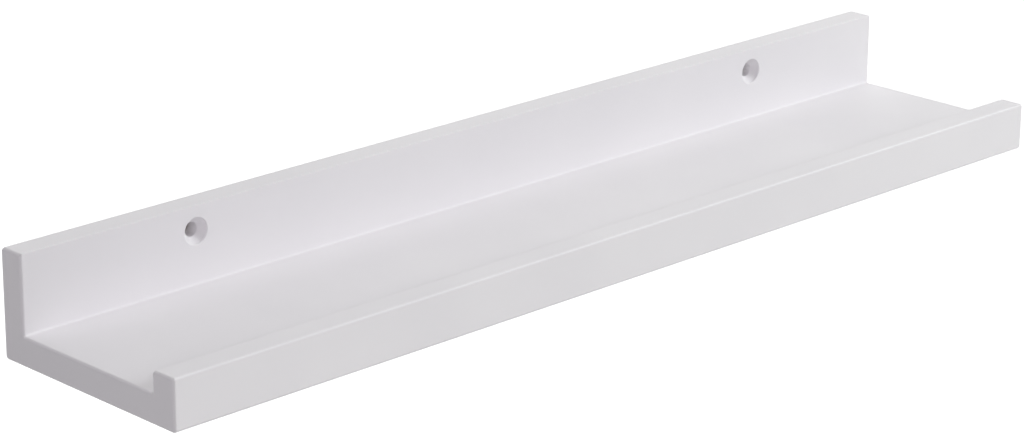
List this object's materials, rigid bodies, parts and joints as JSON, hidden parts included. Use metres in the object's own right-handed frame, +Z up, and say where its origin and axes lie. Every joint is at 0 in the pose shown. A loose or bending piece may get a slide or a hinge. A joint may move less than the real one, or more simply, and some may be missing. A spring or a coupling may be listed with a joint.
{
  "type": "floating wall shelf",
  "caption": "Narrow J-shaped floating wall shelf with a tall back board, a flat base and a low front lip, screwed to a wall to hold picture frames and small items.",
  "frame": {"origin": "on the wall face, midway between the two wall screws", "axes": "+X along the shelf, +Y into the wall, +Z up; the ledge reaches out along -Y"},
  "size_m": [0.6, 0.125, 0.055],
  "materials": {
    "lacquered_mdf": "satin white lacquer over medium-density fibreboard, edges eased",
    "lacquered_filler": "acrylic corner filler under the same satin white lacquer",
    "beech": "raw beech, fluted and chamfered, glued"
  },
  "bodies": {
    "root": {"back_board": "lacquered_mdf", "base_board": "lacquered_mdf", "front_lip": "lacquered_mdf", "rear_filler_bead": "lacquered_filler", "front_filler_bead": "lacquered_filler", "rear_dowel_1": "beech", "rear_dowel_2": "beech", "rear_dowel_3": "beech", "rear_dowel_4": "beech", "rear_dowel_5": "beech", "front_dowel_1": "beech", "front_dowel_2": "beech", "front_dowel_3": "beech", "front_dowel_4": "beech", "front_dowel_5": "beech"}
  },
  "joints": []
}
